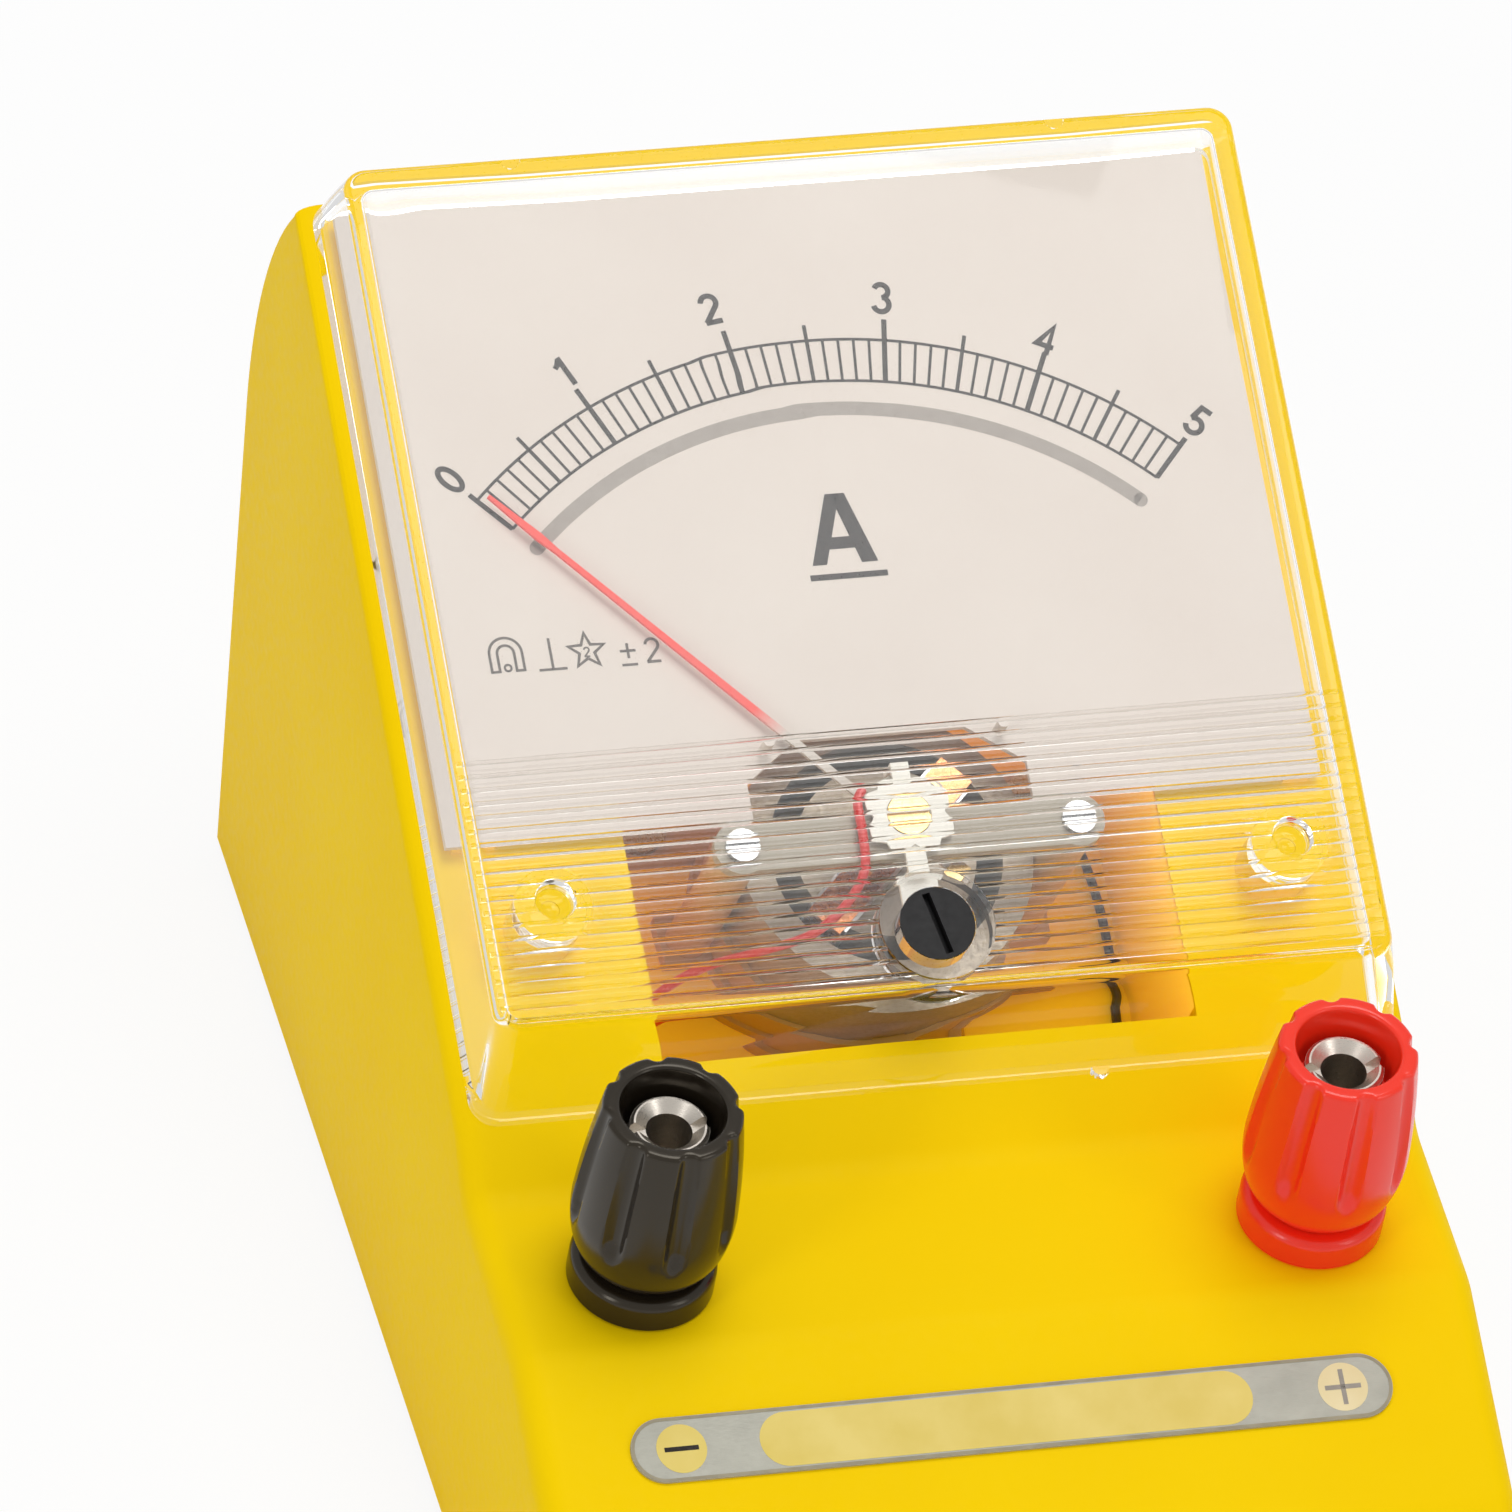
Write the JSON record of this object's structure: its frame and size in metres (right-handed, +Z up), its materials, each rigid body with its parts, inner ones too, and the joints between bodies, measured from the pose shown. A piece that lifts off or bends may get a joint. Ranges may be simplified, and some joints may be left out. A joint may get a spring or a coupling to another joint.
{
  "type": "bench moving coil ammeter",
  "caption": "Moving-coil current meter in a wedge-shaped yellow case, with a clear window over a sloping scale, a red pointer and binding posts in front.",
  "frame": {"origin": "on the table, under the middle of the case", "axes": "+Z up, +X to the right of the scale, the front looks towards -Y"},
  "size_m": [0.085, 0.1297, 0.0806],
  "materials": {
    "case_yellow": "satin",
    "clear": "gloss",
    "black_plastic": "gloss",
    "red_plastic": "gloss",
    "nickel": "satin",
    "steel": "satin",
    "iron": "matt",
    "brass": "satin",
    "copper": "satin",
    "aluminium": "satin",
    "ivory_plastic": "matt",
    "scale_white": "matt",
    "pointer_red": "matt",
    "label_silver": "satin",
    "rubber": "matt",
    "red_wire": "satin",
    "black_wire": "satin"
  },
  "bodies": {
    "meter": {"case": "case_yellow", "base_plate": "case_yellow", "rubber_feet": "rubber", "base_screws": "steel", "label_strip": "label_silver", "window_cover": "clear", "scale_plate": "scale_white", "movement_frame": "ivory_plastic", "frame_screws": "steel", "iron_yoke": "iron", "core_magnet": "iron", "core_strap": "brass", "top_bridge": "ivory_plastic", "bridge_screws": "steel", "top_jewel_screw": "brass", "bottom_jewel_screw": "brass", "pointer_stops": "steel", "shunt_strip": "nickel", "red_lead": "red_wire", "black_lead": "black_wire", "post_washers": "steel", "post_nuts": "nickel", "black_collar": "black_plastic", "black_stem": "nickel", "red_collar": "red_plastic", "red_stem": "nickel"},
    "pointer_body": {"coil_former": "aluminium", "coil_winding": "copper", "pivot_staffs": "steel", "pointer": "pointer_red", "balance_weights": "brass", "upper_hairspring": "copper", "lower_hairspring": "copper"},
    "adjuster_body": {"zero_adjuster": "black_plastic"},
    "lever_body": {"zero_lever": "brass"},
    "black_insert_body": {"black_insert": "brass"},
    "black_cap_body": {"black_cap": "black_plastic"},
    "red_insert_body": {"red_insert": "brass"},
    "red_cap_body": {"red_cap": "red_plastic"}
  },
  "joints": [
    {"name": "pointer_swing", "type": "hinge", "parent": "meter", "child": "pointer_body", "pos_m": [0, 0.00292, 0.04215], "axis": [0, 0.4289, -0.9033], "range_deg": [-3, 88], "stiffness_Nm_per_rad": 0.0004},
    {"name": "zero_adjust", "type": "hinge", "parent": "meter", "child": "adjuster_body", "pos_m": [0, -0.01173, 0.04737], "axis": [0, -0.4289, 0.9033], "range_deg": [-40, 40]},
    {"name": "zero_lever_turn", "type": "hinge", "parent": "meter", "child": "lever_body", "pos_m": [0, -0.00137, 0.05118], "axis": [0, -0.4289, 0.9033], "range_deg": [-5, 5]},
    {"name": "black_cap_lift", "type": "slide", "parent": "meter", "child": "black_insert_body", "axis": [0, -0.0698, 0.9976], "range_m": [0, 0.005]},
    {"name": "black_cap_turn", "type": "hinge", "parent": "black_insert_body", "child": "black_cap_body", "pos_m": [-0.0297, -0.03516, 0.04043], "axis": [0, -0.0698, 0.9976], "range_deg": [0, 1800]},
    {"name": "red_cap_lift", "type": "slide", "parent": "meter", "child": "red_insert_body", "axis": [0, -0.0698, 0.9976], "range_m": [0, 0.005]},
    {"name": "red_cap_turn", "type": "hinge", "parent": "red_insert_body", "child": "red_cap_body", "pos_m": [0.0297, -0.03516, 0.04043], "axis": [0, -0.0698, 0.9976], "range_deg": [0, 1800]}
  ],
  "couplings": [
    {"joint": "zero_lever_turn", "follows": "zero_adjust", "ratio": -0.12245},
    {"joint": "black_cap_turn", "follows": "black_cap_lift", "rad_per_m": 6283.2},
    {"joint": "red_cap_turn", "follows": "red_cap_lift", "rad_per_m": 6283.2}
  ]
}
